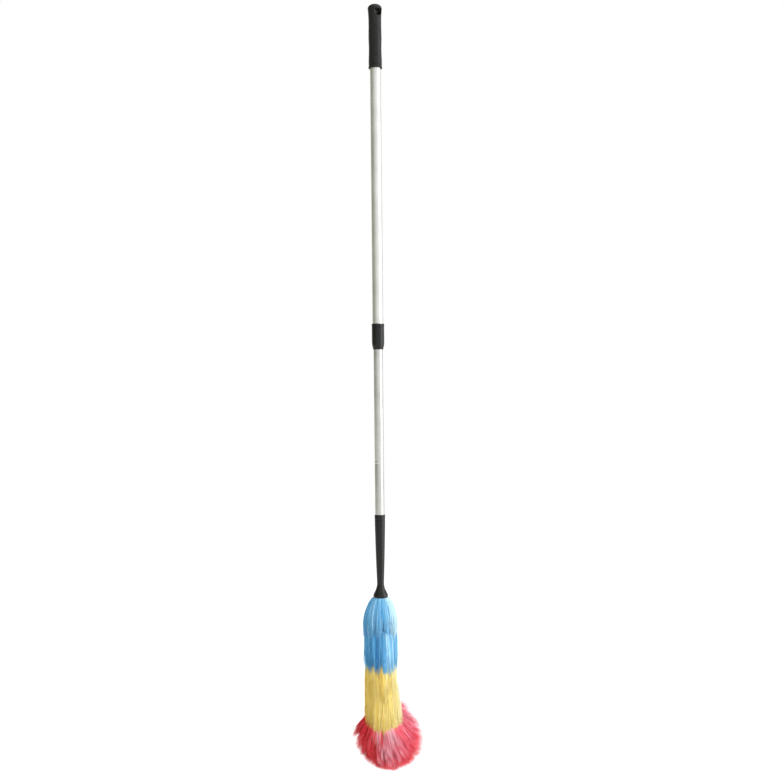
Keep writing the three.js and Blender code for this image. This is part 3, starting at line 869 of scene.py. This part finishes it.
# Each length from the bell to the tip. A profile is radius and height, places are parts of the way from
# the round end's top to its tip, and reach, flare, shade, drape and rise are plans round the head.
fringeShapes = {
    "blue_1": {
        **blueSkirt, "point": 0.2, "ragged": 0.3, "mottle": 0.1, "streak": 0.14,
        "profile": [(7, -1179), (18, -1186), (26.5, -1199), (33, -1219), (35, -1238), (34.5, -1258),
                    (33.5, -1284)],
        "reach": [(0, 0.95), (180, 0.95)],
        "flare": [(-90, 1.06), (90, 0.95), (180, 1)],
        "shade": [(-100, 0.45), (-50, 0.4), (-22, 0.78), (-5, 0.4), (14, 0.25), (34, 0.75), (60, 0.95),
                  (95, 0.98), (140, 0.35), (200, 0.6)],
    },
    "blue_2": {
        **blueSkirt, "point": 0.13, "ragged": 0.14, "mottle": 0.08, "streak": 0.11,
        "profile": [(7.5, -1238), (22, -1241), (31, -1248), (34, -1262), (34.5, -1290), (34, -1318),
                    (31, -1352)],
        "reach": [(-90, 0.9), (-40, 0.95), (-8, 0.97), (6, 1.08), (19, 1.21), (33, 1.02), (60, 0.97),
                  (90, 0.95), (180, 0.97)],
        "flare": [(-90, 1.06), (90, 0.94), (180, 1)],
        "shade": [(-100, 0.5), (-60, 0.42), (-28, 0.22), (-5, 0.1), (10, 0.4), (28, 0.66), (50, 0.55),
                  (95, 0.42), (140, 0.3), (200, 0.5)],
    },
    "yellow_1": {
        **yellowSkirt, "point": 0.05, "ragged": 0.4, "wave": 0.6, "frizz": 0.8,
        "profile": [(7.5, -1296), (20, -1299), (29, -1308), (32, -1330), (33, -1362), (34.5, -1412)],
        "reach": [(0, 1), (180, 1)],
        "flare": [(-90, 1.07), (90, 1), (180, 1)],
        # this shade plan is painted light and shade: the fibre is darker on the left and lighter on the
        # right, as the lamps on the right would light it
        "shade": [(-90, 0.34), (-30, 0.36), (10, 0.48), (50, 0.65), (95, 0.85), (180, 0.5)],
    },
    "yellow_2": {
        **yellowSkirt, "point": 0.04, "ragged": 0.2, "wave": 0.7, "frizz": 0.9,
        "profile": [(7.5, -1342), (20, -1345), (30, -1354), (33.5, -1378), (35, -1405), (37.5, -1430),
                    (43, -1456), (51, -1482)],
        "reach": [(-90, 0.66), (-55, 0.76), (-25, 0.9), (-8, 1.07), (8, 1.1), (30, 1.04), (60, 0.98),
                  (88, 0.92), (105, 0.66), (135, 0.66), (180, 0.8)],
        "flare": [(-90, 1.0), (30, 1.02), (60, 1.12), (90, 1.18), (180, 1)],
        # this shade plan is painted light and shade: the fibre is darker on the left and lighter on the
        # right, as the lamps on the right would light it
        "shade": [(-90, 0.34), (-30, 0.36), (10, 0.48), (50, 0.62), (95, 0.8), (180, 0.5)],
    },
    "pink_1": {
        **pinkBurst, "places": (0, 0.5), "root": (-1393, -1403),
        "drape": [(-90, 0.15), (0, 0.0), (90, 0.1), (180, 0.0)],
        "rise": [(0, 0), (60, -6), (90, -14), (120, -6), (180, 0)],
        "shade": [(-90, 0.3), (-40, 0.15), (-28, 0.38), (-17, 0.82), (22, 0.88), (36, 0.62), (70, 0.5),
                  (98, 0.75), (135, 0.8), (180, 0.2), (225, 0.6)],
    },
    "pink_2": {
        **pinkBurst, "places": (0.3, 0.8), "root": (-1434, -1446),
        "drape": [(-90, 0.3), (-20, 0.25), (30, 0.25), (60, 0.42), (110, 0.3), (180, 0.4)],
        "rise": [(0, 0), (90, -5), (180, 0)],
        "shade": [(-90, 0.3), (-40, 0.1), (-28, 0.33), (-17, 0.85), (18, 0.92), (32, 0.48), (70, 0.35),
                  (95, 0.45), (135, 0.75), (180, 0.2), (225, 0.55)],
    },
    "pink_3": {
        **pinkBurst, "places": (0.6, 0.985), "root": (-1478, -1496),
        "locks": 16, "tufts": 31, "sink": 0.8,
        "drape": [(0, 0.35), (90, 0.2), (180, 0.35)],
        "rise": [(0, 0), (180, 0)],
        "shade": [(-90, 0.15), (-20, 0.2), (0, 0.4), (20, 0.25), (60, 0.22), (95, 0.3), (180, 0.25)],
    },
}

for seed, (name, shape) in enumerate(fringeShapes.items()):
    rng = np.random.default_rng(40 + seed)
    lines, shade = shape["lines"](shape, rng)
    width = shape["width"] * rng.uniform(0.7, 1.2, len(shade))
    piece = strandMesh(name + "_strands", lines, shade, width)
    setMaterial(piece, shape["fibre"])
    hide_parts(name + "_fringe")
    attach(piece, "duster_head")
    print(name, "fringe made,", len(shade), "strands")


# The studio, in metres. Its walls are colours, and the lamps' places are as seenFrom takes them.
studio = {
    "distance": 2.024,  # from the camera to the pole
    "centreHeight": -0.7654,
    "sideShift": 0.0271,  # the view's middle lies this far to the right of the pole
    "rollDegrees": -0.58,
    "lens": 46.0,  # in millimetres, on a sensor 36 mm wide
    "floorHeight": -1.95,
    "floorHalf": 6.0,
    "leftWall": (0.4, 0.395, 0.335, 1),  # how bright the room is on its two sides
    "rightWall": (1.22, 1.25, 1.29, 1),
    "brightSide": (0.85, 0.53, 0),
    "wallBlend": 0.9,
    "lightTarget": (0, 0, -0.8),
}
lamps = {
    "key": {"place": (2.25, 0.7, -0.5), "size": (1.6, 2.6), "power": 35, "colour": (0.98, 0.99, 1)},
    "top": {"place": (0.5, 0.4, 1.5), "size": (1.6, 1.6), "power": 14, "colour": (1, 1, 1)},
    "back": {"place": (-1.1, -2.2, -0.4), "size": (2.0, 2.6), "power": 12, "colour": (1, 1, 1)},
}


# A point given by how far it is to the right, towards the camera and up, in metres.
def seenFrom(right, near, up):
    return (right * math.cos(viewTurn) + near * math.sin(viewTurn),
            right * math.sin(viewTurn) - near * math.cos(viewTurn), up)


# The camera looks level past the pole, turned by viewTurn and rolled a little.
def makeCamera():
    camera = bpy.data.objects.new("camera", bpy.data.cameras.new("camera"))
    bpy.context.scene.collection.objects.link(camera)
    place = Vector(seenFrom(studio["sideShift"], studio["distance"], studio["centreHeight"]))
    facing = Vector(seenFrom(0, -1, 0)).to_track_quat("-Z", "Y").to_matrix().to_4x4()
    roll = Matrix.Rotation(math.radians(studio["rollDegrees"]), 4, "Z")
    camera.matrix_world = Matrix.Translation(place) @ facing @ roll
    camera.data.lens = studio["lens"]
    camera.data.sensor_width = 36
    bpy.context.scene.camera = camera


# A rectangular light, turned to face the middle of the pole.
def makeLamp(name, place, size, power, colour):
    data = bpy.data.lights.new(name, "AREA")
    data.shape = "RECTANGLE"
    data.size, data.size_y = size
    data.energy = power
    data.color = colour
    light = bpy.data.objects.new(name, data)
    bpy.context.scene.collection.objects.link(light)
    light.location = seenFrom(*place)
    towards = Vector(studio["lightTarget"]) - light.location
    light.rotation_euler = towards.to_track_quat("-Z", "Y").to_euler()


# A square of pale matt floor that glows a little, so that it stays white under soft light.
def makeFloor():
    half, height = studio["floorHalf"] / mm, studio["floorHeight"] / mm
    corners = [(-half, -half, height), (half, -half, height), (half, half, height), (-half, half, height)]
    floor = meshPiece("floor", corners, [np.array([[0, 1, 2, 3]])])
    paint, shader = newMaterial("paleFloor")
    setInputs(paint, shader, **{"Base Color": hexColour("#f4f4f4"), "Roughness": 0.9,
                                "Emission Color": (1, 1, 1, 1), "Emission Strength": 0.35})
    setMaterial(floor, paint)


# The room is white to the camera. As a light it is dim on the left and bright on the right, by a smooth
# step over how far a direction points to the right and a little towards the camera.
def makeRoom():
    world = bpy.data.worlds.new("studio")
    bpy.context.scene.world = world
    world.use_nodes = True
    coords = addNode(world, "TexCoord")
    toRight = addNode(world, "VectorMath", {"operation": "DOT_PRODUCT"}, in0=(coords, "Generated"),
                      in1=seenFrom(*studio["brightSide"]))
    across = addNode(world, "MapRange", {"interpolation_type": "SMOOTHSTEP"}, Value=(toRight, "Value"),
                     **{"From Min": -studio["wallBlend"], "From Max": studio["wallBlend"]})
    walls = addNode(world, "Mix", {"data_type": "RGBA"}, in0=(across, "Result"),
                    in6=studio["leftWall"], in7=studio["rightWall"])
    glow = addNode(world, "Background", Color=(walls, 2))
    white = addNode(world, "Background", Color=(1, 1, 1, 1))
    path = addNode(world, "LightPath")
    chosen = addNode(world, "MixShader", in0=(path, "Is Camera Ray"), in1=glow, in2=white)
    setInputs(world, world.node_tree.nodes["World Output"], Surface=chosen)
    bpy.context.scene.view_settings.view_transform = "Standard"


makeCamera()
makeFloor()
for name, lamp in lamps.items():
    makeLamp(name, **lamp)
makeRoom()
print("studio made")
